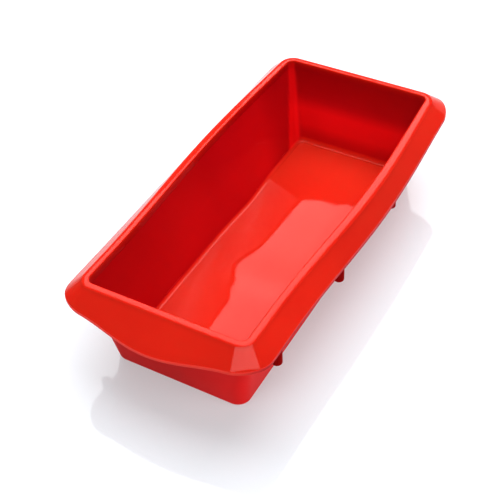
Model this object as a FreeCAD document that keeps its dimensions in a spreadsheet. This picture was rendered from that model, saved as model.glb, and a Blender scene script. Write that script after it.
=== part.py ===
"""Soap loaf mould: one flexible silicone moulding, held as its separate named regions.

Frame: millimetres, +Z up, origin at the centre of the footprint on the table.
X runs along the loaf (front end at -X), Y across it (right side at -Y).

The moulding has a tapered tub (floor, two end walls, two side walls), a rounded rim bead
round its mouth, a skirt that flares out and down from the bead all round, which dips and
widens into a hand grip at each end, and a row of pegs hanging under each long side.
The long sides of the mouth bow gently outwards. Regions meet face to face along mitres.
"""

import os

import FreeCAD, Part
import Sketcher

DIMENSIONS = {
    "overall_height": 62.3,
    "rim_length": 244.0,
    "rim_width": 102.6,
    "side_bow": 5.2,
    "rim_corner_radius": 6.4,
    "bead_width": 4.6,
    "bead_round": 2.28,
    "bead_depth": 5.4,
    "wall_thickness": 2.0,
    "floor_thickness": 2.0,
    "floor_length": 227.6,
    "floor_width": 80.8,
    "floor_corner_radius": 6.0,
    "floor_round": 1.6,
    "base_round": 3.0,
    "mitre_start": 72.0,
    "skirt_top_drop": 2.3,
    "skirt_fall": 11.5,
    "skirt_top_length": 247.5,
    "skirt_top_width": 105.8,
    "skirt_top_bow": 3.4,
    "skirt_top_radius": 8.0,
    "skirt_foot_length": 283.2,
    "skirt_foot_width": 136.0,
    "skirt_foot_radius": 25.0,
    "skirt_inset": 3.3,
    "skirt_corner_height": 52.8,
    "skirt_side_height": 48.9,
    "grip_height": 48.9,
    "grip_half_span": 54.0,
    "peg_diameter": 5.7,
    "peg_foot_height": 38.5,
    "peg_edge_round": 0.7,
    "peg_spacing": 70.7,
    "outer_peg_row": 116.4,
    "inner_peg_row": 121.8,
}

# Sizes that follow from the driving dimensions, as expressions on the sheet.
SIDE_RADIUS = "((Dims.rim_length/2 - Dims.rim_corner_radius)^2 + Dims.side_bow^2)/(2*Dims.side_bow)"
SKIRT_RADIUS = (
    "((Dims.skirt_top_length/2 - Dims.skirt_top_radius)^2 + Dims.skirt_top_bow^2)/(2*Dims.skirt_top_bow)"
)
BEAD_FOOT = "Dims.overall_height - Dims.bead_depth"
SKIRT_TOP = "Dims.overall_height - Dims.skirt_top_drop"
SKIRT_FOOT = "Dims.overall_height - Dims.skirt_top_drop - Dims.skirt_fall"
CORNER_START = "Dims.rim_length/2 - Dims.rim_corner_radius"

# Extents of the helper solids that only have to reach past the moulding.
REACH = 100.0
TRIM_FLOOR = 30.0
OUTER_END = 200.0

# Steps in degrees of the quarter rounds along the bottom edges.
ROUND_ANGLES = (0, 30, 60, 90)

doc = FreeCAD.newDocument("soap_loaf_mould")


def make_sheet():
    """The driving dimensions, one alias a row."""
    sheet = doc.addObject("Spreadsheet::Sheet", "Dims")
    for row, (alias, number) in enumerate(DIMENSIONS.items(), start=1):
        sheet.set(f"A{row}", alias)
        sheet.set(f"B{row}", str(number))
        sheet.setAlias(f"B{row}", alias)
    doc.recompute()
    return sheet


sheet = make_sheet()


def value(expression):
    """The number that an expression on the sheet gives now."""
    return float(sheet.evalExpression(expression))


def new_body(name):
    body = doc.addObject("PartDesign::Body", name)
    body.Label = name
    return body


def origin_plane(body, role):
    for feature in body.Origin.OriginFeatures:
        if feature.Role == role:
            return feature
    raise ValueError(role)


def new_sketch(body, name, role="XY_Plane", offset="0"):
    """A sketch on one of the body's own planes, moved along its normal."""
    sketch = body.newObject("Sketcher::SketchObject", name)
    sketch.AttachmentSupport = [(origin_plane(body, role), "")]
    sketch.MapMode = "FlatFace"
    sketch.setExpression("AttachmentOffset.Base.z", offset)
    return sketch


def dimension(sketch, name, constraint, expression):
    """Add a dimensional constraint and bind it to the sheet."""
    index = sketch.addConstraint(constraint)
    sketch.renameConstraint(index, name)
    sketch.setExpression(f"Constraints.{name}", expression)


def arc(centre, radius, start, end):
    """An arc that runs anticlockwise from one point to the other."""
    circle = Part.Circle(centre, FreeCAD.Vector(0, 0, 1), radius)
    return Part.ArcOfCircle(circle, circle.parameter(start), circle.parameter(end))


def outline_sketch(body, name, height, half_length, half_width, corner, side_radius=None):
    """A rounded rectangle round Z. With side_radius its long sides are arcs that bow outwards.

    half_width is measured at mid-length. Every size is an expression on the sheet.
    """
    sketch = new_sketch(body, name, offset=height)
    a, b, r = value(half_length), value(half_width), value(corner)
    centre_x = a - r
    if side_radius is None:
        centre_y = b - r
        side_x, side_y = centre_x, b
    else:
        big = value(side_radius)
        rise = ((big - r) ** 2 - centre_x**2) ** 0.5
        centre_y = b - big + rise
        side_x = centre_x * big / (big - r)
        side_y = b - big + rise * big / (big - r)

    def point(x, y):
        return FreeCAD.Vector(x, y, 0)

    def corner_arc(sign_x, sign_y, start, end):
        return arc(point(sign_x * centre_x, sign_y * centre_y), r, start, end)

    def side(sign_y, start, end):
        if side_radius is None:
            return Part.LineSegment(start, end)
        return arc(point(0, sign_y * (b - big)), big, start, end)

    edges = [
        side(-1, point(-side_x, -side_y), point(side_x, -side_y)),
        corner_arc(1, -1, point(side_x, -side_y), point(a, -centre_y)),
        Part.LineSegment(point(a, -centre_y), point(a, centre_y)),
        corner_arc(1, 1, point(a, centre_y), point(side_x, side_y)),
        side(1, point(side_x, side_y), point(-side_x, side_y)),
        corner_arc(-1, 1, point(-side_x, side_y), point(-a, centre_y)),
        Part.LineSegment(point(-a, centre_y), point(-a, -centre_y)),
        corner_arc(-1, -1, point(-a, -centre_y), point(-side_x, -side_y)),
    ]
    for edge in edges:
        sketch.addGeometry(edge, False)
    for index in range(len(edges)):
        following = (index + 1) % len(edges)
        sketch.addConstraint(Sketcher.Constraint("Tangent", index, 2, following, 1))
    for line in (2, 6):
        sketch.addConstraint(Sketcher.Constraint("Vertical", line))
    for other in (3, 5, 7):
        sketch.addConstraint(Sketcher.Constraint("Equal", 1, other))
    dimension(sketch, "corner", Sketcher.Constraint("Radius", 1, r), corner)
    dimension(sketch, "rear", Sketcher.Constraint("DistanceX", -1, 1, 2, 1, a), half_length)
    dimension(sketch, "front", Sketcher.Constraint("DistanceX", 6, 1, -1, 1, a), half_length)
    if side_radius is None:
        for line in (0, 4):
            sketch.addConstraint(Sketcher.Constraint("Horizontal", line))
        dimension(sketch, "right", Sketcher.Constraint("DistanceY", 0, 1, -1, 1, b), half_width)
        dimension(sketch, "left", Sketcher.Constraint("DistanceY", -1, 1, 4, 1, b), half_width)
        return sketch
    depth = f"{side_radius} - ({half_width})"
    for line in (0, 4):
        sketch.addConstraint(Sketcher.Constraint("PointOnObject", line, 3, -2))
    sketch.addConstraint(Sketcher.Constraint("Equal", 0, 4))
    dimension(sketch, "side_radius", Sketcher.Constraint("Radius", 0, big), side_radius)
    dimension(sketch, "right", Sketcher.Constraint("DistanceY", -1, 1, 0, 3, big - b), depth)
    dimension(sketch, "left", Sketcher.Constraint("DistanceY", 4, 3, -1, 1, big - b), depth)
    return sketch


def rim_outline(body, name, height, inset):
    """The mouth's outline, moved inwards from the bead's centre line by inset."""
    return outline_sketch(
        body,
        name,
        height,
        f"Dims.rim_length/2 - ({inset})",
        f"Dims.rim_width/2 + Dims.side_bow - ({inset})",
        f"Dims.rim_corner_radius - ({inset})",
        f"{SIDE_RADIUS} - ({inset})",
    )


def floor_outline(body, name, height, outset):
    """The floor's outline, moved outwards by outset."""
    return outline_sketch(
        body,
        name,
        height,
        f"Dims.floor_length/2 + ({outset})",
        f"Dims.floor_width/2 + ({outset})",
        f"Dims.floor_corner_radius + ({outset})",
    )


def rounded_foot(body, name, height, outset, radius):
    """Floor outlines that climb a quarter round from a flat bottom to a wall."""
    outlines = []
    for angle in ROUND_ANGLES:
        outlines.append(
            floor_outline(
                body,
                f"{name}_{angle}",
                f"{height} + {radius}*(1 - cos({angle} deg))",
                f"{outset} - {radius}*(1 - sin({angle} deg))",
            )
        )
    return outlines


def loft(body, name, kind, outlines):
    """Straight-ruled faces through the outlines, from the lowest to the highest."""
    feature = body.newObject(f"PartDesign::{kind}", name)
    feature.Profile = outlines[0]
    feature.Sections = outlines[1:]
    feature.Ruled = True
    doc.recompute()
    return feature


def level_edges(shape, height):
    """Names of the edges that lie wholly at one height."""
    names = []
    for number, edge in enumerate(shape.Edges, start=1):
        box = edge.BoundBox
        if abs(box.ZMin - height) < 1e-3 and abs(box.ZMax - height) < 1e-3:
            names.append(f"Edge{number}")
    return names


def fillet(body, name, base, height, radius):
    feature = body.newObject("PartDesign::Fillet", name)
    feature.Base = (base, level_edges(base.Shape, height))
    feature.setExpression("Radius", radius)
    doc.recompute()
    return feature


def pad(body, name, sketch, length, both_ways=False):
    feature = body.newObject("PartDesign::Pad", name)
    feature.Profile = sketch
    feature.setExpression("Length", length)
    if both_ways:
        feature.SideType = "Symmetric"
    doc.recompute()
    return feature


def boolean(kind, name, base, tool):
    feature = doc.addObject(f"Part::{kind}", name)
    feature.Label = name
    feature.Base = base
    feature.Tool = tool
    doc.recompute()
    return feature


def rim_bead():
    """The rounded bead round the mouth, down to where walls and skirt start."""
    body = new_body("rim_bead")
    half = "Dims.bead_width/2"
    outer = rim_outline(body, "bead_outside", BEAD_FOOT, f"-{half}")
    ring = pad(body, "bead_block", outer, "Dims.bead_depth")
    inner = rim_outline(body, "bead_inside", BEAD_FOOT, half)
    mouth = body.newObject("PartDesign::Pocket", "bead_mouth")
    mouth.Profile = inner
    mouth.Reversed = True
    mouth.Type = "ThroughAll"
    doc.recompute()
    if not 0 < mouth.Shape.Volume < 0.5 * ring.Shape.Volume:
        raise RuntimeError("the bead's mouth is not cut")
    fillet(body, "bead_rounding", mouth, value("Dims.overall_height"), "Dims.bead_round")
    return body


def mouth_space():
    """The space inside the bead, which the skirt must not reach."""
    body = new_body("mouth_space")
    pad(body, "mouth_prism", rim_outline(body, "mouth_outline", BEAD_FOOT, "0"), "Dims.bead_depth")
    return body


def tub_shell():
    """Floor and walls in one, before they are parted: open at the top, tapered downwards."""
    body = new_body("tub_shell")
    outside = rounded_foot(body, "tub_base", "0", "Dims.wall_thickness", "Dims.base_round")
    outside.append(rim_outline(body, "tub_top", BEAD_FOOT, "Dims.bead_width/2 - Dims.wall_thickness"))
    block = loft(body, "tub_block", "AdditiveLoft", outside)
    inside = rounded_foot(body, "cavity_floor", "Dims.floor_thickness", "0", "Dims.floor_round")
    inside.append(rim_outline(body, "cavity_top", BEAD_FOOT, "Dims.bead_width/2"))
    cavity = loft(body, "cavity", "SubtractiveLoft", inside)
    if not 0 < cavity.Shape.Volume < 0.5 * block.Shape.Volume:
        raise RuntimeError("the cavity is not cut")
    return body


def skirt_cone(name, inset):
    """The solid under one face of the skirt: inset 0 is its outer face."""
    body = new_body(name)
    low = outline_sketch(
        body,
        f"{name}_foot",
        SKIRT_FOOT,
        f"Dims.skirt_foot_length/2 - {inset}",
        f"Dims.skirt_foot_width/2 - {inset}",
        f"Dims.skirt_foot_radius - {inset}",
    )
    high = outline_sketch(
        body,
        f"{name}_top",
        SKIRT_TOP,
        f"Dims.skirt_top_length/2 - {inset}",
        f"Dims.skirt_top_width/2 + Dims.skirt_top_bow - {inset}",
        f"Dims.skirt_top_radius - {inset}",
        f"{SKIRT_RADIUS} - {inset}",
    )
    loft(body, f"{name}_loft", "AdditiveLoft", [low, high])
    return body


def closed_profile(body, name, role, offset, points, arcs):
    """A closed profile whose corners follow the sheet.

    points are pairs of expressions. arcs maps the index of an edge to the expressions of a
    point on it and of its radius: those edges are arcs, and the others are straight.
    """
    sketch = new_sketch(body, name, role, offset)
    corners = [FreeCAD.Vector(value(across), value(up), 0) for across, up in points]
    ends = []
    for index, start in enumerate(corners):
        end = corners[(index + 1) % len(corners)]
        if index not in arcs:
            sketch.addGeometry(Part.LineSegment(start, end), False)
            ends.append((1, 2))
            continue
        across, up, _ = arcs[index]
        middle = FreeCAD.Vector(value(across), value(up), 0)
        circle = Part.Circle(start, middle, end)
        anticlockwise = (middle - start).cross(end - middle).z > 0
        first, last = (start, end) if anticlockwise else (end, start)
        sketch.addGeometry(arc(circle.Center, circle.Radius, first, last), False)
        ends.append((1, 2) if anticlockwise else (2, 1))
    for index, (start_end, _) in enumerate(ends):
        previous = (index - 1) % len(corners)
        previous_end = ends[previous][1]
        sketch.addConstraint(
            Sketcher.Constraint("Coincident", previous, previous_end, index, start_end)
        )
        place_point(sketch, index, start_end, points[index])
    for index, (_, _, radius) in arcs.items():
        dimension(sketch, f"radius_{index}", Sketcher.Constraint("Radius", index, value(radius)), radius)
    return sketch


def place_point(sketch, edge, end, expressions):
    """Fix a corner of a profile by its distances from the sketch's origin."""
    for kind, expression in zip(("DistanceX", "DistanceY"), expressions):
        constraint = Sketcher.Constraint(kind, -1, 1, edge, end, value(expression))
        dimension(sketch, f"{kind}_{edge}", constraint, expression)


def side_trim():
    """Everything below the skirt's lower edge along the long sides."""
    body = new_body("side_trim")
    start, corner = CORNER_START, "Dims.skirt_corner_height"
    dip = "(Dims.skirt_corner_height - Dims.skirt_side_height)"
    radius = f"(({CORNER_START})^2 + {dip}^2)/(2*{dip})"
    points = [
        (f"-({start})", str(TRIM_FLOOR)),
        (start, str(TRIM_FLOOR)),
        (start, corner),
        (f"-({start})", corner),
    ]
    arcs = {2: ("0", "Dims.skirt_side_height", radius)}
    profile = closed_profile(body, "side_edge", "XZ_Plane", "0", points, arcs)
    pad(body, "side_prism", profile, str(2 * REACH), both_ways=True)
    return body


def end_trim(name, direction):
    """Everything below the skirt's lower edge at one end, with the dip of the hand grip.

    The dip is an S on each side of the centre, two equal arcs each.
    """
    body = new_body(name)
    corner, span = "Dims.skirt_corner_height", "Dims.grip_half_span"
    dip = "(Dims.skirt_corner_height - Dims.grip_height)"
    middle = f"{corner} - {dip}/2"
    radius = f"({span}^2 + {dip}^2)/(4*{dip})"
    sag = f"({radius} - sqrt(({radius})^2 - ({span}/4)^2))"
    points = [
        (str(-REACH), str(TRIM_FLOOR)),
        (str(REACH), str(TRIM_FLOOR)),
        (str(REACH), corner),
        (span, corner),
        (f"{span}/2", middle),
        (f"-{span}/2", middle),
        (f"-{span}", corner),
        (str(-REACH), corner),
    ]
    shoulder = f"{corner} - {sag}"
    arcs = {
        3: (f"3*{span}/4", shoulder, radius),
        4: ("0", "Dims.grip_height", radius),
        5: (f"-3*{span}/4", shoulder, radius),
    }
    start = CORNER_START if direction > 0 else f"-({CORNER_START}) - {OUTER_END}"
    profile = closed_profile(body, f"{name}_edge", "YZ_Plane", start, points, arcs)
    pad(body, f"{name}_prism", profile, str(OUTER_END))
    return body


def wedge(name, corners):
    """A region above the floor, seen from above, that parts the walls and skirt along mitres."""
    body = new_body(name)
    profile = closed_profile(body, f"{name}_plan", "XY_Plane", "Dims.floor_thickness", corners, {})
    pad(body, f"{name}_prism", profile, "Dims.overall_height")
    return body


def wedges():
    """The four mitred regions, by the name of the side they hold."""
    start, far = "Dims.mitre_start", f"(Dims.mitre_start + {REACH})"
    out, back = str(REACH), str(-REACH)
    plans = {
        "front": [(f"-{start}", "0"), (f"-{far}", out), (f"-{far}", back)],
        "rear": [(start, "0"), (far, back), (far, out)],
        "left": [(f"-{start}", "0"), (start, "0"), (far, out), (f"-{far}", out)],
        "right": [(f"-{start}", "0"), (f"-{far}", back), (far, back), (start, "0")],
    }
    return {side: wedge(f"region_{side}", corners) for side, corners in plans.items()}


def floor_panel(shell):
    """The flat bottom, up to the level that the loaf stands on."""
    slab = doc.addObject("Part::Box", "floor_slab")
    slab.Length = 2 * OUTER_END
    slab.Width = 2 * REACH
    slab.setExpression("Height", "Dims.floor_thickness")
    slab.Placement.Base = FreeCAD.Vector(-OUTER_END, -REACH, 0)
    return boolean("Common", "floor_panel", shell, slab)


def peg(name, across, along, under_skirt):
    """A round peg that hangs straight down from the skirt's underside."""
    body = new_body(f"{name}_pin")
    sketch = new_sketch(body, f"{name}_circle", offset="Dims.peg_foot_height")
    centre = FreeCAD.Vector(value(along), value(across), 0)
    sketch.addGeometry(Part.Circle(centre, FreeCAD.Vector(0, 0, 1), value("Dims.peg_diameter/2")), False)
    radius = "Dims.peg_diameter/2"
    dimension(sketch, "radius", Sketcher.Constraint("Radius", 0, value(radius)), radius)
    place_point(sketch, 0, 3, (along, across))
    shaft = pad(body, f"{name}_shaft", sketch, f"{BEAD_FOOT} - Dims.peg_foot_height")
    fillet(body, f"{name}_rounding", shaft, value("Dims.peg_foot_height"), "Dims.peg_edge_round")
    return boolean("Common", name, body, under_skirt)


def pegs(core, trim):
    """Four pegs under each long side, evenly spaced about the middle."""
    under_skirt = boolean("Fuse", "under_skirt", core, trim)
    outer, inner = "Dims.outer_peg_row/2", "Dims.inner_peg_row/2"
    rows = {1: outer, 2: inner, 3: inner, 4: outer}
    made = []
    for side, sign in (("left", ""), ("right", "-")):
        for number, row in rows.items():
            along = f"{number - 2.5}*Dims.peg_spacing"
            made.append(peg(f"peg_{side}_{number}", f"{sign}{row}", along, under_skirt))
    return made


def check(parts):
    """Stop unless every object and every sub-part's solid is sound."""
    for item in doc.Objects:
        if "Invalid" in item.State or "Error" in item.State:
            raise RuntimeError(f"{item.Label} failed: {item.State}")
    for item in parts:
        shape = item.Shape
        if shape.isNull() or not shape.isValid() or len(shape.Solids) != 1:
            raise RuntimeError(f"{item.Label} is not one sound solid")


def main():
    shell = tub_shell()
    bead = rim_bead()
    core = skirt_cone("skirt_core", "Dims.skirt_inset")
    band = boolean("Cut", "skirt_sheet", skirt_cone("skirt_outside", "0"), core)
    trim = side_trim()
    trims = (trim, end_trim("front_trim", -1), end_trim("rear_trim", 1))
    for tool in (*trims, bead, mouth_space(), shell):
        band = boolean("Cut", f"skirt_less_{tool.Label}", band, tool)
    regions = wedges()
    names = {
        "front": ("end_wall_front", "end_grip_front"),
        "rear": ("end_wall_rear", "end_grip_rear"),
        "left": ("side_wall_left", "side_skirt_left"),
        "right": ("side_wall_right", "side_skirt_right"),
    }
    parts = [bead, floor_panel(shell)]
    for side, (wall, skirt) in names.items():
        parts.append(boolean("Common", wall, shell, regions[side]))
        parts.append(boolean("Common", skirt, band, regions[side]))
    parts.extend(pegs(core, trim))
    doc.recompute()
    check(parts)
    os.makedirs("parts", exist_ok=True)
    for item in parts:
        item.Shape.exportStep(os.path.join("parts", f"{item.Label}.step"))
        print(f"{item.Label}: {item.Shape.Volume / 1000:.2f} cm3")


main()
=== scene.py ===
"""Looks of the soap loaf mould: one glossy red silicone moulding on a white table.

All places are in the part's own frame: X along the loaf (front at -X), Y across it (right side
at -Y), Z up, with the origin at the centre of the flat base.
The moulding's section is drawn once at each station round the mouth and swept through them
all. It is then parted into tub, rim bead and skirt, which meet face to face.
"""

import math

import bmesh
import bpy
import numpy as np
from mathutils import Matrix, Vector
from mathutils.bvhtree import BVHTree


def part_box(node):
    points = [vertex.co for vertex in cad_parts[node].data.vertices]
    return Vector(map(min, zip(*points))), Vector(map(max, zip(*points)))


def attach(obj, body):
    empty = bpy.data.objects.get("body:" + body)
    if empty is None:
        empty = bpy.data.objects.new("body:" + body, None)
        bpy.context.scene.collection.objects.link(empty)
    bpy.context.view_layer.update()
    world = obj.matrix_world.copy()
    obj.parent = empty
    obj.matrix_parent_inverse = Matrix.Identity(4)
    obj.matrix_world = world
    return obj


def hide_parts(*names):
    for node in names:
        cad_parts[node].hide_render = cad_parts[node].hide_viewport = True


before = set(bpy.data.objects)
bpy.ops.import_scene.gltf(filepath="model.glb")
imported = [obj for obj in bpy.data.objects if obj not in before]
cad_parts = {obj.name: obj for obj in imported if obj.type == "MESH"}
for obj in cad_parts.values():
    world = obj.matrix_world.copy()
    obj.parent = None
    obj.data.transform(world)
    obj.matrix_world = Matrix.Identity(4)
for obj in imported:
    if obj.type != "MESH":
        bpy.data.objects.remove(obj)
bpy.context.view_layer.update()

MM = 0.001
BODY = "root"


def box_mm(node):
    """Lowest and highest corner of a CAD node's box, in millimetres."""
    return [[value / MM for value in corner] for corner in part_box(node)]


# Lengths of the moulding are in millimetres from here on, and angles are in degrees.
BEAD_BOX = box_mm("rim_bead")[1]
FLOOR_BOX = box_mm("floor_panel")[1]

# Segments along each long side, along each end and in each corner.
SIDE_STEPS, END_STEPS, CORNER_STEPS = 96, 48, 12
# An edge between two faces is sharp if they turn by more than this.
SHARP_ANGLE = 40

# The bead: half its width, its inner round, and the wider round that runs into the skirt.
BEAD_HALF, INNER_ROUND, SHOULDER_ROUND = 2.26, 0.95, 3.6
# How far the long sides bow out in the CAD, and how far they bow and sag here.
CAD_BOW, BOW, SAG = 5.2, 5.0, 1.45
# Where along the loaf they bow most, and how far from there the bow ends.
BOW_CENTRE, BOW_HALF_SPAN = 26.0, 122.0
# The mouth, at the bead's centre line: how far that is inside the CAD bead's outer edge, and how
# far below its top the bead's top is.
BEAD_INSET, TOP_GAP = 2.3, 0.03
RIM_HALF_LENGTH = BEAD_BOX[0] - BEAD_INSET
RIM_HALF_WIDTH = BEAD_BOX[1] - BEAD_INSET - CAD_BOW
RIM_CORNER, RIM_TOP = 6.4, BEAD_BOX[2] - TOP_GAP
# Rings of the bead's neck: how far below the inner round's centre, and how much of the wall's
# painted light and shade has given way there to the skirt's colour. On the inner round that share
# goes on from BEAD_BLEND.
NECK_RINGS = ((2.2, 0.15), (1.4, 0.35), (0.6, 0.6))
BEAD_BLEND = 0.8

# The skirt: its slope is measured from this far below the bead's top, and its mesh begins this
# far down its face.
SKIRT_START_DROP, SKIRT_SEAM = 1.12, 0.6
# Its width down the slope and its slope, on the sides and at the ends, and what the bow adds.
SKIRT_WIDTH_SIDE, SKIRT_WIDTH_END = 14.9, 14.3
SLOPE_SIDE, SLOPE_END, SLOPE_BOW = 36.4, 32.8, 9.8
# The round of its corners in plan, its thickness, and the rounds of its lip.
SKIRT_CORNER, SKIRT_THICKNESS, LIP_ROUND = 18.2, 2.0, 0.6
# Each end dips and widens into a hand grip, further from the middle than GRIP_FROM.
GRIP_HALF_SPAN, GRIP_EXTRA, GRIP_FROM = 54.0, 8.0, 0.9 * RIM_HALF_LENGTH
# How much higher the skirt's edge is at each corner, by the signs of x and y.
CORNER_LIFT = {(1, 1): 1.3, (1, -1): 1.6, (-1, 1): 1.3, (-1, -1): 0.8}
# The lip below its upper round: share of the upright cut that the lower round takes, and how
# far underneath that round ends.
LIP_LOWER_SHARE, LIP_LOWER_RUN = 0.35, 0.5

# The tub: its base stands on the table, and its floor is as thick as the CAD's.
WALL, FLOOR_LEVEL = 2.0, FLOOR_BOX[2]
# How far the cavity floor's edge is inside the CAD floor panel's, along and across.
INSET_ALONG, INSET_ACROSS = 1.73, 2.03
FLOOR_HALF_LENGTH, FLOOR_HALF_WIDTH = FLOOR_BOX[0] - INSET_ALONG, FLOOR_BOX[1] - INSET_ACROSS
FLOOR_CORNER, FLOOR_ROUND, BASE_ROUND = 6.0, 2.6, 3.0
# The neck is the upright stretch between the wall and the bead.
NECK = 3.4
WALL_TOP = RIM_TOP - BEAD_HALF - NECK
# The round between wall and floor is drawn up to this angle.
FILLET_END = 84
# Shares of the inner wall's height at which it has a ring. The first two bound its foot.
WALL_FOOT = 0.03
WALL_SHARES = (0, WALL_FOOT, *np.linspace(0.1, 0.8, 11), 0.88, 0.96)
# The hollow round between the skirt's underside and the wall: how far it runs along each from
# the line where they would meet, and how far down the wall from there the tub's mesh begins.
HOLLOW_ARM, OUTSIDE_SEAM = 1.8, 2.6
# The foot of the right wall stands further out, and that of the left wall bulges in.
RIGHT_EXTRA, LEFT_BULGE, BULGE_PLACE, BULGE_REACH = 1.7, 1.7, 38.0, 22.0

# Shallow waves of the soft walls. On the end walls: a wave over the height, a bulge, and how
# much of both the front wall has, the other way round.
END_WAVE, END_BULGE, FRONT_SHARE = 1.2, 0.5, 0.4
# On the side walls: a swell and a ripple, each with its length, and where the swell starts.
SWELL, SWELL_LENGTH, SWELL_START = 0.55, 92.0, 0.6
RIPPLE, RIPPLE_LENGTH = 0.25, 57.0

# The swell of the cavity floor and the base: its height, and what the front part adds.
FLOOR_SWELL, FRONT_SWELL = 2.1, 0.3
# A dip across it: its depth, its place along the loaf and its reach.
DIP, DIP_PLACE, DIP_REACH = 1.1, -22.0, 13.0
# Where the front part ends, and the swell's flanks. Each is the place of the flank's middle,
# outwards from the centre, and half its width. The left flank changes towards the front.
FRONT_PART = (-40, 12)
REAR_FLANK, FRONT_FLANK, RIGHT_FLANK = (88, 22), (96, 14), (26, 11)
LEFT_FLANK, LEFT_FLANK_FRONT = (14, 24), (7, 18)

# The pegs: how far each is from its CAD place, along the loaf and outwards.
PEG_SHIFTS = {1: (-0.4, 1.8), 2: (-0.4, 1.0), 3: (0, 1.5), 4: (0, -1.6)}
# Their radius, how much higher than in the CAD they end, the round of the foot, and the flare.
PEG_RADIUS, PEG_LIFT, PEG_EDGE, PEG_FLARE = 3.0, 0.8, 0.6, 0.9
# How far a peg's hidden top stands inside the skirt, how much of the flare it has there, and
# segments round a peg.
PEG_ROOT, PEG_ROOT_FLARE, PEG_STEPS = 0.5, 0.9, 40

# Colour of each surface against the skirt's, as factors on red, green and blue. The moulding is one
# silicone, so these are painted light and shade.
# Painted light: the cavity floor, which the overhead panel lights, is painted paler and more orange
# than the skirt.
FLOOR_LIGHT_TINT = np.array([0.90, 1.12, 1.3])
# Painted light: the outside of the tub is painted a deeper, purer red for light that comes through
# the wall.
OUTER_GLOW_TINT = np.array([1.24, 0.08, 0.2])
# Painted highlight: the lip's upper round, and its cut at the ends, are painted pale.
LIP_HIGHLIGHT_TINT = np.array([1.5, 2.6, 4.2])
# Painted shade: along the sides the lip's upright cut is painted a dark red.
LIP_SIDE_SHADE_TINT = np.array([1.0, 0.15, 0.8])
# Painted shade: the pegs hang in the skirt's shadow and are painted a dark, deep red.
PEG_SHADE_TINT = np.array([0.9, 0.2, 0.5])
# Painted light: what the rear of the cavity floor adds to its tint, making it paler, and the stretch
# over which it comes in.
REAR_FLOOR_LIGHT = np.array([0.12, 0.45, 0.5])
REAR_FLOOR = (60, 100)
# Painted light on the outside of the tub, where the lamp at the front right falls: how much lighter
# it is painted at the right corners, on the right half of the front wall and on the right wall, and
# how far from the middle of the front wall it is lightest.
OUTER_CORNER, OUTER_FRONT, OUTER_RIGHT, OUTER_REACH = 0.1, 0.16, 0.34, 40
# The lip: share of its upper round where the cut's painted highlight and painted shade come in, and
# its satin at the end.
LIP_CUT_FROM, LIP_SATIN = 0.6, 0.6
# The round between floor and wall: how satin it is, how much lighter than the floor it is painted as
# a painted highlight, and the angles between which it takes the wall's painted light and shade on
# the long sides.
FILLET_SATIN, FILLET_HIGHLIGHT, FILLET_BLEND = 0.5, 0.35, (44, 68)
# Painted light and shade of the end walls: their tone, and how much darker they are painted in the
# upper part, where the skirt shades the wall from behind, and at the foot.
END_TONE, END_UPPER, END_FOOT = 1.26, 0.41, 0.24
# Painted light and shade of the side walls along their length, as (x, tone), and how much darker the
# upper part is painted.
SIDE_TONES = ((-110, 0.86), (-85, 0.89), (-25, 0.97), (10, 0.90), (45, 0.96), (75, 1.04), (98, 0.89))
SIDE_UPPER = 0.03
# Shares of the wall's height where the upper part comes in and where the foot ends.
UPPER_BAND, FOOT_BAND = (0.46, 0.62), (0.08, 0.24)
# The inner wall's green and blue for its painted tone.
WALL_GREEN, WALL_BLUE = 0.22, 1.2
# The painted highlight up the rear left corner, a paler streak: its tone, how much darker that is in
# the upper part, half its width at the top and at the foot, how far it has moved onto the side wall
# at the foot, and how soft its edges are.
GLOW_TONE, GLOW_UPPER = 1.38, 0.1
GLOW_HALF_TOP, GLOW_HALF_FOOT, GLOW_SHIFT, GLOW_EDGE = 5.0, 8.0, 8.0, 3.0

# The camera: its place in metres, its turn in degrees, its lens and its sensor in millimetres.
CAMERA_PLACE, CAMERA_TURN = (-0.4363, -0.2435, 0.4701), (47.123, 1.941, -60.985)
LENS, SENSOR = 78.4, 36.0
# The table in metres: half its size and the gap that keeps it clear of the base. Its cells are
# counted along one side.
TABLE_HALF, TABLE_GAP, TABLE_CELLS = 4.0, 0.00002, 8


def rounded_rectangle(half_length, half_width, corner):
    """Plan points and outward normals, anticlockwise from the right side's front end."""
    points, normals = [], []

    def run(start, end, steps, normal):
        """A straight stretch, without its last point."""
        for t in np.arange(steps) / steps:
            points.append([start[0] + (end[0] - start[0]) * t, start[1] + (end[1] - start[1]) * t])
            normals.append(normal)

    def turn(centre, first):
        """A quarter round from the first angle, without its last point."""
        for t in np.arange(CORNER_STEPS) / CORNER_STEPS:
            angle = math.radians(first + 90 * t)
            direction = [math.cos(angle), math.sin(angle)]
            points.append([centre[0] + corner * direction[0], centre[1] + corner * direction[1]])
            normals.append(direction)

    a, b = half_length - corner, half_width - corner
    run((-a, -half_width), (a, -half_width), SIDE_STEPS, (0, -1))
    turn((a, -b), -90)
    run((half_length, -b), (half_length, b), END_STEPS, (1, 0))
    turn((a, b), 0)
    run((a, half_width), (-a, half_width), SIDE_STEPS, (0, 1))
    turn((-a, b), 90)
    run((-half_length, b), (-half_length, -b), END_STEPS, (-1, 0))
    turn((-a, -b), 180)
    return np.array(points), np.array(normals)


def hump(distance, half_span):
    """1 where the distance is 0, falling smoothly to 0 at half_span on either side."""
    angle = np.clip(math.pi / 2 * distance / half_span, -math.pi / 2, math.pi / 2)
    return np.cos(angle) ** 2


def bow_share(x):
    """0 to 1: how far the long side is bowed at x. It is greatest towards the rear."""
    return hump(x - BOW_CENTRE, BOW_HALF_SPAN)


def unit(vectors):
    """The same directions, each of length 1."""
    return vectors / np.linalg.norm(vectors, axis=1)[:, None]


def dot(one, two):
    """Dot products of two lists of vectors, as a column."""
    return (one * two).sum(1)[:, None]


def bend(start, corner, end, t):
    """The point at share t of a curve from start to end that is drawn towards the corner."""
    return (1 - t) ** 2 * start + 2 * t * (1 - t) * corner + t**2 * end


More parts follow.
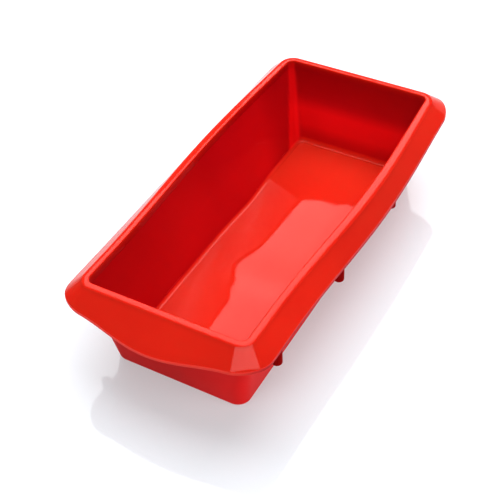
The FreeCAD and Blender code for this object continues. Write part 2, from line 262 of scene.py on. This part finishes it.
def bowed(points):
    """Move mouth points out and down as the soft walls bow."""
    moved = points.copy()
    side = np.minimum(1, np.abs(points[:, 1]) / RIM_HALF_WIDTH) ** 4
    share = bow_share(points[:, 0]) * side
    moved[:, 1] += np.sign(points[:, 1]) * BOW * share
    moved[:, 2] -= SAG * share
    return moved


def widened(points):
    """Set the foot of the right wall a little further out, and bulge the left one inwards."""
    moved = points.copy()
    moved[:, 1] *= np.where(points[:, 1] < 0, 1 + RIGHT_EXTRA / FLOOR_HALF_WIDTH, 1)
    left = np.clip(points[:, 1] / FLOOR_HALF_WIDTH, 0, 1)
    moved[:, 1] -= left * LEFT_BULGE * np.exp(-((points[:, 0] - BULGE_PLACE) / BULGE_REACH) ** 2)
    return moved


def wall_warp(places, normal, t):
    """How far the soft wall stands outwards at share t of its height."""
    x = places[:, 0]
    side = normal[:, 1] ** 2
    end = normal[:, 0] ** 2
    rear = end * (x > 0)
    front = end * (x < 0)
    tilt = END_BULGE * math.sin(math.pi * t) - END_WAVE * math.sin(2 * math.pi * t)
    swell = math.sin(math.pi * t) * np.cos(2 * math.pi * x / SWELL_LENGTH + SWELL_START)
    ripple = math.sin(2 * math.pi * t) * np.sin(2 * math.pi * x / RIPPLE_LENGTH)
    return (rear - front * FRONT_SHARE) * tilt + side * (SWELL * swell + RIPPLE * ripple)


def painted_wall_shading(places, normal, t):
    """Painted light and shade of the inner wall at share t of its height, against the skirt's
    colour.

    Light comes through the soft wall from behind, so the wall is painted darker and purer red where
    the skirt shades it from outside, and lighter below that. Along the side walls it is painted
    lighter and darker in places, and the streak up the rear left corner is a painted highlight.
    """
    x = places[:, 0]
    side = normal[:, 1] ** 2
    end = normal[:, 0] ** 2
    # Distance round the rear left corner: ahead along the end wall, behind along the side.
    along = (RIM_HALF_WIDTH - places[:, 1]) - (RIM_HALF_LENGTH - x)
    half = GLOW_HALF_TOP + (GLOW_HALF_FOOT - GLOW_HALF_TOP) * (1 - t)
    off = np.abs(along + GLOW_SHIFT * (1 - t))
    # glow is the painted highlight of the streak by the rear left corner.
    glow = np.clip((half - off) / GLOW_EDGE + 0.5, 0, 1) * (x > 0) * (places[:, 1] > 0)
    upper = np.interp(t, UPPER_BAND, (0, 1))
    foot = np.interp(t, FOOT_BAND, (1, 0))
    tone_end = END_TONE - END_UPPER * upper - END_FOOT * foot
    tone_side = np.interp(x, *zip(*SIDE_TONES)) - SIDE_UPPER * upper
    tone = end * tone_end + side * tone_side
    tone = tone + glow * (GLOW_TONE - GLOW_UPPER * upper - tone)
    tone = tone[:, None]
    return np.hstack((tone, WALL_GREEN * tone * tone, WALL_BLUE * tone))


def flank(value, middle, reach):
    """Smooth step from 1 below the flank to 0 above it."""
    t = np.clip((value - middle) / reach * 0.5 + 0.5, 0, 1)
    return 1 - t + np.sin(2 * np.pi * t) / (2 * np.pi)


def floor_swell(x, y):
    """Height of the broad swell on the cavity floor: a plateau with a long slope to the left."""
    front = flank(x, *FRONT_PART)
    dip = DIP * np.exp(-((x - DIP_PLACE) / DIP_REACH) ** 2) * (1 - front)
    height = FLOOR_SWELL + FRONT_SWELL * front - dip
    left = [rear + (near - rear) * front for rear, near in zip(LEFT_FLANK, LEFT_FLANK_FRONT)]
    across = flank(y, *left) * flank(-y, *RIGHT_FLANK)
    along = flank(x, *REAR_FLANK) * flank(-x, *FRONT_FLANK)
    return height * across * along


class Section:
    """The moulding's section, as rings that run round the mould.

    Each row is (label, ring, tint, satin). The rows run from the cavity floor up the inside,
    over the bead, down the skirt, round its edge, back underneath and down the outside to the
    base. Rows whose label starts with "seam" are where the meshes part.
    """

    def __init__(self):
        self.rows = []
        self.crest, self.normal = rounded_rectangle(RIM_HALF_LENGTH, RIM_HALF_WIDTH, RIM_CORNER)
        self.count = len(self.crest)
        # How much each station belongs to a side, to an end and to a corner.
        self.side = self.normal[:, 1] ** 2
        self.end = self.normal[:, 0] ** 2
        self.corner = 4 * self.side * self.end
        self.outward = np.c_[self.normal, np.zeros(self.count)]
        self.add_inside()
        edge, height = self.skirt_edge()
        self.add_bead(edge, height)
        fall = self.add_skirt(bowed(np.c_[edge, height]))
        self.add_outside(fall)

    def add(self, label, ring, tint=1.0, satin=0.0):
        """Add a ring, with its tint and satin for all its points or for each."""
        tints = np.ones((self.count, 3)) * tint
        self.rows.append((label, ring, tints, np.ones(self.count) * satin))

    def at(self, u, z):
        """Ring u outside the bead's centre line at height z, with the bow and sag."""
        plan = self.crest + self.normal * np.reshape(u, (-1, 1))
        return bowed(np.c_[plan, np.broadcast_to(z, self.count)])

    def add_inside(self):
        """A quarter round up from the cavity floor, then the wall."""
        floor, _ = rounded_rectangle(FLOOR_HALF_LENGTH, FLOOR_HALF_WIDTH, FLOOR_CORNER)
        floor = widened(floor)
        for degrees in range(0, FILLET_END + 1, 12):
            t = math.radians(degrees)
            share = degrees / FILLET_END
            plan = floor - self.normal * FLOOR_ROUND * (1 - math.sin(t))
            height = FLOOR_LEVEL + FLOOR_ROUND * (1 - math.cos(t))
            # The round is painted lighter than the floor: a painted highlight.
            tint = FLOOR_LIGHT_TINT * (1 + FILLET_HIGHLIGHT * share)
            blend = np.interp(degrees, FILLET_BLEND, (0, 1)) * self.side[:, None]
            tint = tint + (painted_wall_shading(self.crest, self.normal, 0) - tint) * blend
            ring = np.c_[plan, np.full(self.count, height)]
            self.add("inside", ring, tint, FILLET_SATIN * share * self.side)
        low = np.c_[floor, np.full(self.count, FLOOR_LEVEL + FLOOR_ROUND)]
        high = self.at(-BEAD_HALF, WALL_TOP)
        for t in WALL_SHARES:
            ring = low + (high - low) * t
            ring = ring + self.outward * wall_warp(self.crest, self.normal, t)[:, None]
            # At the foot the wall still has the fillet's looks, with its painted highlight at the
            # ends.
            blend = max(0, 1 - t / WALL_FOOT)
            tint = painted_wall_shading(self.crest, self.normal, t)
            tint = tint + (FLOOR_LIGHT_TINT * (1 + FILLET_HIGHLIGHT) - tint) * blend * self.end[:, None]
            self.add("inside", ring, tint, FILLET_SATIN * blend * self.side)
        self.add("seam_inside", high, painted_wall_shading(self.crest, self.normal, 1))

    def skirt_edge(self):
        """The skirt's lower edge before the mouth bows: its plan points and its heights."""
        slope_side = np.radians(SLOPE_SIDE + SLOPE_BOW * bow_share(self.crest[:, 0]))
        slope_end = math.radians(SLOPE_END)
        out_side = SKIRT_WIDTH_SIDE * np.cos(slope_side)
        out_flat = SKIRT_WIDTH_SIDE * math.cos(math.radians(SLOPE_SIDE))
        out_end = SKIRT_WIDTH_END * math.cos(slope_end)
        edge, _ = rounded_rectangle(
            RIM_HALF_LENGTH + out_end, RIM_HALF_WIDTH + out_flat, SKIRT_CORNER
        )
        edge = edge + self.normal * ((out_side - out_flat) * self.side)[:, None]
        drop_side = SKIRT_WIDTH_SIDE * np.sin(slope_side)
        drop_end = SKIRT_WIDTH_END * math.sin(slope_end)
        signs = np.where(self.crest > 0, 1, -1).tolist()
        lift = np.array([CORNER_LIFT[tuple(sign)] for sign in signs])
        height = RIM_TOP - SKIRT_START_DROP - drop_side * self.side - drop_end * self.end
        height = height + lift * self.corner
        grip = GRIP_EXTRA * hump(edge[:, 1], GRIP_HALF_SPAN) * (np.abs(edge[:, 0]) > GRIP_FROM)
        edge = edge + self.normal * (math.cos(slope_end) * grip)[:, None]
        return edge, height - math.sin(slope_end) * grip

    def add_bead(self, edge, edge_height):
        """Up the neck, round the inner edge, over the top, and a wide round into the skirt."""
        wall = painted_wall_shading(self.crest, self.normal, 1)
        centre_u, centre_z = INNER_ROUND - BEAD_HALF, RIM_TOP - INNER_ROUND
        for below, blend in NECK_RINGS:
            self.add("bead", self.at(-BEAD_HALF, centre_z - below), wall + (1 - wall) * blend)
        for degrees in range(-90, 1, 10):
            t = math.radians(degrees)
            blend = min(1, BEAD_BLEND + (degrees + 90) / 90)
            u, z = centre_u + INNER_ROUND * math.sin(t), centre_z + INNER_ROUND * math.cos(t)
            self.add("bead", self.at(u, z), wall + (1 - wall) * blend)
        self.add("bead", self.at(centre_u / 2, RIM_TOP))
        # The wide round turns until it points along the straight line to the skirt's edge.
        hub_z = RIM_TOP - SHOULDER_ROUND
        edge_u = ((edge - self.crest) * self.normal).sum(1)
        edge_w = edge_height - hub_z
        slope = np.arctan2(edge_u, edge_w) - np.arccos(SHOULDER_ROUND / np.hypot(edge_u, edge_w))
        for t in np.linspace(0, 1, 13):
            u, w = SHOULDER_ROUND * np.sin(slope * t), SHOULDER_ROUND * np.cos(slope * t)
            self.add("bead", self.at(u, hub_z + w))
        u, z = u + SKIRT_SEAM * np.cos(slope), hub_z + w - SKIRT_SEAM * np.sin(slope)
        self.add("seam_skirt", self.at(u, z))

    def add_skirt(self, edge):
        """Down the skirt's outer face, round its lip and back underneath it to the bead.

        The result is the direction down the skirt at each station.
        """
        top = self.rows[-1][1]
        fall = unit(edge - top)
        length = np.linalg.norm(edge - top, axis=1)[:, None]
        tangent = np.roll(edge, -1, 0) - np.roll(edge, 1, 0)
        face = unit(np.cross(fall, tangent))
        face *= np.sign(face[:, 2])[:, None]
        level = unit(np.cross(tangent, (0, 0, 1)))
        level *= np.sign(dot(level, face))
        tilt = np.arccos(dot(level, face))
        # The straight part of the face ends where the lip's upper round begins.
        straight = fall * (length - LIP_ROUND * np.tan(tilt / 2))
        for t in np.linspace(0, 1, 9)[1:]:
            self.add("skirt", top + straight * t)
        # The lip is cut upright, with its upper edge and its lower edge rounded. Its upper round
        # carries a painted highlight, and so does the cut at the ends; along the sides the cut has
        # painted shade.
        cut_tint = LIP_HIGHLIGHT_TINT * self.end[:, None] + LIP_SIDE_SHADE_TINT * (1 - self.end[:, None])
        hub = top + straight - face * LIP_ROUND
        square = unit(level - face * np.cos(tilt))
        for t in np.linspace(0, 1, 7)[1:]:
            turn = face * np.cos(tilt * t) + square * np.sin(tilt * t)
            tint = 1 + (LIP_HIGHLIGHT_TINT - 1) * min(1, 2 * t)
            tint = tint + (cut_tint - tint) * max(0, t - LIP_CUT_FROM) / (1 - LIP_CUT_FROM)
            self.add("skirt", hub + turn * LIP_ROUND, tint, LIP_SATIN * max(0, 2 * t - 1))
        cut_top = self.rows[-1][1]
        foot = top - face * SKIRT_THICKNESS
        # Where the upright cut meets the underside.
        meet = foot + fall * dot(cut_top - foot, level) / dot(fall, level)
        cut_end = meet - (meet - cut_top) * LIP_LOWER_SHARE
        self.add("skirt", (cut_top + cut_end) / 2, cut_tint, (LIP_SATIN + 1) / 2)
        self.add("skirt", cut_end, cut_tint, satin=1)
        inner = meet - fall * LIP_LOWER_RUN
        for t in (0.25, 0.5, 0.75, 1.0):
            self.add("skirt", bend(cut_end, meet, inner, t), cut_tint, satin=1)
        for t in np.linspace(1, 0, 9)[1:-1]:
            self.add("skirt", foot + (inner - foot) * t, satin=1)
        self.add("seam_under", foot, satin=1)
        return fall

    def add_outside(self, fall):
        """A hollow round from the skirt's underside into the wall, and down it to the base."""
        floor, _ = rounded_rectangle(
            FLOOR_HALF_LENGTH + WALL, FLOOR_HALF_WIDTH + WALL, FLOOR_CORNER + WALL
        )
        floor = widened(floor)
        low = np.c_[floor, np.full(self.count, BASE_ROUND)]
        high = self.at(WALL - BEAD_HALF, WALL_TOP)
        under = self.rows[-1][1]
        down = unit(low - high)
        # Follow the skirt's underside inwards until it meets the wall's outer face.
        wall_normal = unit(self.outward - down * dot(self.outward, down))
        meet = under - fall * dot(under - high, wall_normal) / dot(fall, wall_normal)
        right = self.crest[:, 1] < 0
        front = self.end * (self.crest[:, 0] < 0)
        # Painted light where the lamp at the front right falls on the outside.
        lighter = OUTER_CORNER * self.corner * right
        lighter = lighter + OUTER_FRONT * front * np.clip(-self.crest[:, 1] / OUTER_REACH, 0, 1)
        lighter = lighter + OUTER_RIGHT * self.side**2 * right
        # Painted light: the deep red of light through the wall, made lighter where the lamp falls.
        tint = OUTER_GLOW_TINT * (1 + lighter)[:, None]
        for t in (0.0, 0.15, 0.3, 0.45, 0.6, 0.75, 0.9, 1.0):
            ring = bend(meet + fall * HOLLOW_ARM, meet, meet + down * HOLLOW_ARM, t)
            self.add("bead", ring, 1 + (tint - 1) * t, satin=1)
        seam = meet + down * OUTSIDE_SEAM
        self.add("seam_outside", seam, tint, satin=1)
        for t in np.linspace(0, 1, 15)[1:]:
            ring = seam + (low - seam) * t
            ring = ring + self.outward * wall_warp(self.crest, self.normal, 1 - t)[:, None]
            self.add("outside", ring, tint, satin=1)
        for degrees in range(75, -1, -15):
            t = math.radians(degrees)
            plan = floor - self.normal * BASE_ROUND * (1 - math.sin(t))
            ring = np.c_[plan, np.full(self.count, BASE_ROUND * (1 - math.cos(t)))]
            self.add("outside", ring, tint, satin=1)


def panel(ring):
    """A grid of points whose border is the ring, parted at the middles of its corners.

    The result is the grid and the ring's numbers along its right, rear, left and front border.
    """
    half = CORNER_STEPS // 2
    across, along = END_STEPS + CORNER_STEPS, SIDE_STEPS + CORNER_STEPS
    order = np.roll(np.arange(len(ring)), half)
    right = order[: along + 1]
    rear = order[along : along + across + 1]
    left = order[along + across : 2 * along + across + 1][::-1]
    front = np.r_[order[2 * along + across :], order[0]][::-1]
    s = np.linspace(0, 1, along + 1)[:, None, None]
    t = np.linspace(0, 1, across + 1)[None, :, None]
    low, high = ring[right][:, None], ring[left][:, None]
    near, far = ring[front][None], ring[rear][None]
    corners = (
        (1 - s) * (1 - t) * ring[right[0]]
        + s * (1 - t) * ring[right[-1]]
        + (1 - s) * t * ring[left[0]]
        + s * t * ring[left[-1]]
    )
    grid = (1 - t) * low + t * high + (1 - s) * near + s * far - corners
    return grid, right, rear, left, front


class Builder:
    """Collects rings and panels into one mesh, sharing the points of each ring."""

    def __init__(self):
        self.mesh = bmesh.new()
        self.tint = self.mesh.verts.layers.float_color.new("tint")
        self.satin = self.mesh.verts.layers.float.new("satin")
        self.rings = {}

    def vert(self, point, tint, satin):
        """One point, given in millimetres."""
        vert = self.mesh.verts.new(Vector(point) * MM)
        vert[self.tint] = (*tint, 1)
        vert[self.satin] = satin
        return vert

    def ring(self, key, points, tints, satins):
        """The points of a ring, made once for each key."""
        if key not in self.rings:
            self.rings[key] = [self.vert(*row) for row in zip(points, tints, satins)]
        return self.rings[key]

    def strip(self, first, second):
        """A closed strip of faces between two rings."""
        count = len(first)
        for i in range(count):
            j = (i + 1) % count
            self.mesh.faces.new((first[i], first[j], second[j], second[i]))

    def cap(self, ring_points, ring_verts, lift, tint, satin):
        """Fill a ring with a grid of faces that is raised by lift(x, y) inside it."""
        grid, right, rear, left, front = panel(ring_points)
        grid[..., 2] += lift(grid[..., 0], grid[..., 1])
        across, along = grid.shape[1] - 1, grid.shape[0] - 1
        verts = [[None] * (across + 1) for _ in range(along + 1)]
        for i in range(along + 1):
            verts[i][0] = ring_verts[right[i]]
            verts[i][across] = ring_verts[left[i]]
        for j in range(across + 1):
            verts[0][j] = ring_verts[front[j]]
            verts[along][j] = ring_verts[rear[j]]
        for i in range(1, along):
            for j in range(1, across):
                # The rear of the cavity floor is painted paler: painted light.
                rear_share = np.interp(grid[i, j, 0], REAR_FLOOR, (0, 1))
                rear_tint = tint * (1 + rear_share * REAR_FLOOR_LIGHT)
                verts[i][j] = self.vert(grid[i, j], rear_tint, satin)
        for i in range(along):
            for j in range(across):
                self.mesh.faces.new(
                    (verts[i][j], verts[i + 1][j], verts[i + 1][j + 1], verts[i][j + 1])
                )

    def finish(self, name):
        """Turn the mesh into a named object, smooth but for its sharp edges."""
        bmesh.ops.recalc_face_normals(self.mesh, faces=self.mesh.faces)
        data = bpy.data.meshes.new(name)
        self.mesh.to_mesh(data)
        self.mesh.free()
        data.polygons.foreach_set("use_smooth", [True] * len(data.polygons))
        data.set_sharp_from_angle(angle=math.radians(SHARP_ANGLE))
        thing = bpy.data.objects.new(name, data)
        bpy.context.scene.collection.objects.link(thing)
        return thing


def moulding():
    """The tub, the rim bead and the skirt, each a closed mesh."""
    rows = Section().rows
    labels = [row[0] for row in rows]
    cut = {name: labels.index(name) for name in labels if name.startswith("seam")}
    last = len(rows) - 1

    def closed(name, spans, caps):
        """A closed mesh of some spans of rows, with grids over the rows in caps."""
        builder = Builder()
        for first, end in spans:
            for i in range(first, end):
                one = builder.ring(i, *rows[i][1:])
                two = builder.ring(i + 1, *rows[i + 1][1:])
                builder.strip(one, two)
        for i in caps:
            _, ring, tint, satin = rows[i]
            verts = builder.ring(i, ring, tint, satin)
            builder.cap(ring, verts, floor_swell, tint[0], satin[0])
        # Join each span's end to the next one's start, but for an end that has a cap.
        for (_, end), (first, _) in zip(spans, spans[1:] + spans[:1]):
            if end not in caps:
                builder.strip(builder.rings[end], builder.rings[first])
        return builder.finish(name)

    inside, outside = (0, cut["seam_inside"]), (cut["seam_outside"], last)
    over, under = (cut["seam_inside"], cut["seam_skirt"]), (cut["seam_under"], cut["seam_outside"])
    tub = closed("tub", [inside, outside], [0, last])
    rim = closed("rim", [over, under], [])
    skirt = closed("skirt", [(cut["seam_skirt"], cut["seam_under"])], [])
    return tub, rim, skirt


def peg(name, x, y, foot, surfaces):
    """A round peg with a rounded foot, flared where it grows out of the skirt."""
    angles = np.arange(PEG_STEPS) * 2 * math.pi / PEG_STEPS
    circle = np.c_[np.cos(angles), np.sin(angles)]

    def skirt_over(reach):
        """Height of the skirt's underside over each point of a circle, nan beyond its edge."""
        heights = []
        for cx, cy in circle:
            start = Vector((x + cx * reach, y + cy * reach, foot)) * MM
            hits = [surface.ray_cast(start, Vector((0, 0, 1)))[0] for surface in surfaces]
            heights.append(min([hit.z / MM for hit in hits if hit is not None], default=math.nan))
        return np.array(heights)

    roof = skirt_over(PEG_RADIUS)
    # No flare where it would come through the skirt's edge.
    flare = np.where(np.isnan(skirt_over(PEG_RADIUS + 2 * PEG_FLARE)), 0, PEG_FLARE)
    shaft_low, shaft_high = foot + PEG_EDGE, roof - PEG_FLARE
    rings = []
    for t in np.radians(range(0, 91, 15)):
        radius = PEG_RADIUS - PEG_EDGE * (1 - math.sin(t))
        rings.append((radius, np.full(PEG_STEPS, shaft_low - PEG_EDGE * math.cos(t))))
    for t in (0.25, 0.5, 0.75, 1.0):
        rings.append((PEG_RADIUS, shaft_low + (shaft_high - shaft_low) * t))
    for t in np.radians(range(20, 90, 20)):
        radius = PEG_RADIUS + flare * (1 - math.cos(t))
        rings.append((radius, shaft_high + PEG_FLARE * math.sin(t)))
    rings.append((PEG_RADIUS + PEG_ROOT_FLARE * flare, roof + PEG_ROOT))

    builder = Builder()
    tints, satins = np.tile(PEG_SHADE_TINT, (PEG_STEPS, 1)), np.zeros(PEG_STEPS)
    verts = []
    for number, (radius, height) in enumerate(rings):
        ring = np.c_[x + circle[:, 0] * radius, y + circle[:, 1] * radius, height]
        verts.append(builder.ring(number, ring, tints, satins))
    for one, two in zip(verts, verts[1:]):
        builder.strip(one, two)
    builder.mesh.faces.new(verts[0])
    builder.mesh.faces.new(verts[-1])
    return builder.finish(name)


def peg_pieces(surfaces):
    """The pegs, each with its material slot and the CAD node that it stands for."""
    pegs = []
    for side, sign in (("left", 1), ("right", -1)):
        for number, (along, outwards) in PEG_SHIFTS.items():
            node = f"peg_{side}_{number}"
            low, high = box_mm(node)
            x = (low[0] + high[0]) / 2 + along
            y = (low[1] + high[1]) / 2 + sign * outwards
            pin = peg(f"pin_{side}_{number}", x, y, low[2] + PEG_LIFT, surfaces)
            pegs.append((pin, "silicone_pegs", (node,)))
    return pegs


def silicone(name, depth=1.0, gloss=0.32, haze=0.0):
    """Moulded silicone, glossy on top and satin underneath.

    depth scales the colour, gloss is the specular level and haze is added to the roughness.
    Waves, mottling and a fine grain vary it.
    """
    material = bpy.data.materials.new(name)
    material.use_nodes = True
    nodes, links = material.node_tree.nodes, material.node_tree.links
    shader = nodes["Principled BSDF"]
    shader.inputs["IOR"].default_value = 1.42
    shader.inputs["Specular IOR Level"].default_value = gloss
    shader.inputs["Subsurface Weight"].default_value = 0.5
    shader.inputs["Subsurface Scale"].default_value = 0.003
    # Red light goes furthest through the red silicone.
    shader.inputs["Subsurface Radius"].default_value = (1.0, 0.08, 0.08)
    place = nodes.new("ShaderNodeTexCoord")

    def noise(scale, detail, roughness=0.5):
        """A noise texture that keeps its place on the object."""
        node = nodes.new("ShaderNodeTexNoise")
        node.inputs["Scale"].default_value = scale
        node.inputs["Detail"].default_value = detail
        node.inputs["Roughness"].default_value = roughness
        links.new(place.outputs["Object"], node.inputs["Vector"])
        return node

    def ramp(source, stops):
        """A colour ramp with stops of (position, colour)."""
        node = nodes.new("ShaderNodeValToRGB")
        elements = node.color_ramp.elements
        while len(elements) < len(stops):
            elements.new(0.5)
        for element, (position, colour) in zip(elements, stops):
            element.position = position
            element.color = (*colour, 1)
        links.new(source, node.inputs["Fac"])
        return node

    deep = [value * depth for value in (0.56, 0.023, 0.009)]
    pale = [value * depth for value in (0.60, 0.029, 0.011)]
    mottle = noise(scale=16.0, detail=3.0)
    colour = ramp(mottle.outputs["Fac"], [(0.30, deep), (0.70, pale)])
    # The tint attribute holds how the colour differs from place to place.
    tint = nodes.new("ShaderNodeAttribute")
    tint.attribute_name = "tint"
    tinted = nodes.new("ShaderNodeVectorMath")
    tinted.operation = "MULTIPLY"
    links.new(colour.outputs["Color"], tinted.inputs[0])
    links.new(tint.outputs["Color"], tinted.inputs[1])
    links.new(tinted.outputs["Vector"], shader.inputs["Base Color"])

    cloud = noise(scale=45.0, detail=4.0, roughness=0.6)
    rough = nodes.new("ShaderNodeMapRange")
    rough.inputs["From Min"].default_value = 0.35
    rough.inputs["From Max"].default_value = 0.70
    rough.inputs["To Min"].default_value = 0.04 + haze
    rough.inputs["To Max"].default_value = 0.08 + haze
    links.new(cloud.outputs["Fac"], rough.inputs["Value"])
    # The satin attribute roughens the outside of the tub and the underside of the skirt.
    skin = nodes.new("ShaderNodeAttribute")
    skin.attribute_name = "satin"
    satin = nodes.new("ShaderNodeMath")
    satin.operation = "MULTIPLY"
    satin.inputs[1].default_value = 0.42
    links.new(skin.outputs["Fac"], satin.inputs[0])
    total = nodes.new("ShaderNodeMath")
    total.operation = "ADD"
    links.new(rough.outputs["Result"], total.inputs[0])
    links.new(satin.outputs["Value"], total.inputs[1])
    links.new(total.outputs["Value"], shader.inputs["Roughness"])

    waves = nodes.new("ShaderNodeBump")
    waves.inputs["Strength"].default_value = 0.5
    waves.inputs["Distance"].default_value = 0.0006
    links.new(noise(scale=14.0, detail=1.0).outputs["Fac"], waves.inputs["Height"])
    grain = nodes.new("ShaderNodeBump")
    grain.inputs["Strength"].default_value = 0.12
    grain.inputs["Distance"].default_value = 0.00005
    links.new(noise(scale=900.0, detail=2.0).outputs["Fac"], grain.inputs["Height"])
    links.new(waves.outputs["Normal"], grain.inputs["Normal"])
    links.new(grain.outputs["Normal"], shader.inputs["Normal"])
    return material


def table():
    """A wide, glossy white table top under the mould."""
    data = bpy.data.meshes.new("table_top")
    points, faces = [], []
    places = np.linspace(-TABLE_HALF, TABLE_HALF, TABLE_CELLS + 1)
    for x in places:
        for y in places:
            points.append((x, y, 0))
    row = TABLE_CELLS + 1
    for i in range(TABLE_CELLS):
        for j in range(TABLE_CELLS):
            first = i * row + j
            faces.append((first, first + row, first + row + 1, first + 1))
    data.from_pydata(points, [], faces)
    thing = bpy.data.objects.new("table_top", data)
    bpy.context.scene.collection.objects.link(thing)
    material = bpy.data.materials.new("white_table")
    material.use_nodes = True
    shader = material.node_tree.nodes["Principled BSDF"]
    shader.inputs["Base Color"].default_value = (0.35, 0.36, 0.38, 1)
    shader.inputs["Roughness"].default_value = 0.06
    shader.inputs["IOR"].default_value = 1.33
    # It glows a little, so that it stays white between the lamps' reflections.
    shader.inputs["Emission Color"].default_value = (0.94, 0.99, 1.01, 1)
    shader.inputs["Emission Strength"].default_value = 0.45
    data.materials.append(material)
    thing.location.z = -TABLE_GAP


def softbox(name, place, target, along, size, radiance):
    """A rectangular soft light of even radiance that faces the target, its length set along."""
    light = bpy.data.lights.new(name, "AREA")
    light.shape = "RECTANGLE"
    light.size, light.size_y = size
    light.energy = radiance * math.pi * size[0] * size[1]
    thing = bpy.data.objects.new(name, light)
    back = (Vector(place) - Vector(target)).normalized()
    side = back.cross(Vector(along)).normalized()
    turn = Matrix((side.cross(back), side, back)).transposed().to_4x4()
    turn.translation = Vector(place)
    thing.matrix_world = turn
    bpy.context.scene.collection.objects.link(thing)
    thing.visible_camera = False


def lights():
    """An even, pale room, a panel overhead, a long lamp by the front right, and a backdrop."""
    world = bpy.data.worlds.new("studio")
    bpy.context.scene.world = world
    world.use_nodes = True
    room = world.node_tree.nodes["Background"]
    room.inputs["Color"].default_value = (1.0, 0.99, 0.99, 1)
    room.inputs["Strength"].default_value = 0.32
    # The panel is shifted towards the rear left, where the cavity floor and the table reflect it.
    softbox(
        "panel", place=(0.70, 0.25, 1.20), target=(0.70, 0.25, 0), along=(1, 0, 0),
        size=(1.8, 1.6), radiance=4.4,
    )
    softbox(
        "lamp", place=(-0.57, -0.55, 1.20), target=(0, 0, 0), along=(0.59, -0.81, 0),
        size=(2.1, 0.35), radiance=4.8,
    )
    softbox(
        "backdrop", place=(4.0, -0.6, 0.5), target=(0, -0.1, 0.5), along=(0, 1, 0),
        size=(4.0, 1.0), radiance=1.1,
    )


def camera():
    """The camera at the viewing angle: above the front right corner, looking down the loaf."""
    data = bpy.data.cameras.new("camera")
    data.lens = LENS
    data.sensor_width = SENSOR
    thing = bpy.data.objects.new("camera", data)
    bpy.context.scene.collection.objects.link(thing)
    thing.location = CAMERA_PLACE
    thing.rotation_euler = [math.radians(angle) for angle in CAMERA_TURN]
    bpy.context.scene.camera = thing


tub, rim, skirt = moulding()
surfaces = []
for piece in (skirt, rim, tub):
    points = [vertex.co for vertex in piece.data.vertices]
    surfaces.append(BVHTree.FromPolygons(points, [face.vertices for face in piece.data.polygons]))

materials = {slot: silicone(slot) for slot in ("silicone_tub", "silicone_rim", "silicone_skirt")}
# The pegs' colour is scaled down and reddened for painted shade.
materials["silicone_pegs"] = silicone("silicone_pegs", depth=0.68, gloss=0.01, haze=0.20)

tub_nodes = ("floor_panel", "end_wall_front", "end_wall_rear", "side_wall_left", "side_wall_right")
skirt_nodes = ("end_grip_front", "end_grip_rear", "side_skirt_left", "side_skirt_right")
pieces = [
    (tub, "silicone_tub", tub_nodes),
    (rim, "silicone_rim", ("rim_bead",)),
    (skirt, "silicone_skirt", skirt_nodes),
]
for piece, slot, stands_for in pieces + peg_pieces(surfaces):
    piece.data.materials.append(materials[slot])
    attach(piece, BODY)
    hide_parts(*stands_for)

table()
lights()
camera()
bpy.context.scene.view_settings.view_transform = "Standard"
bpy.context.scene.view_settings.gamma = 0.77
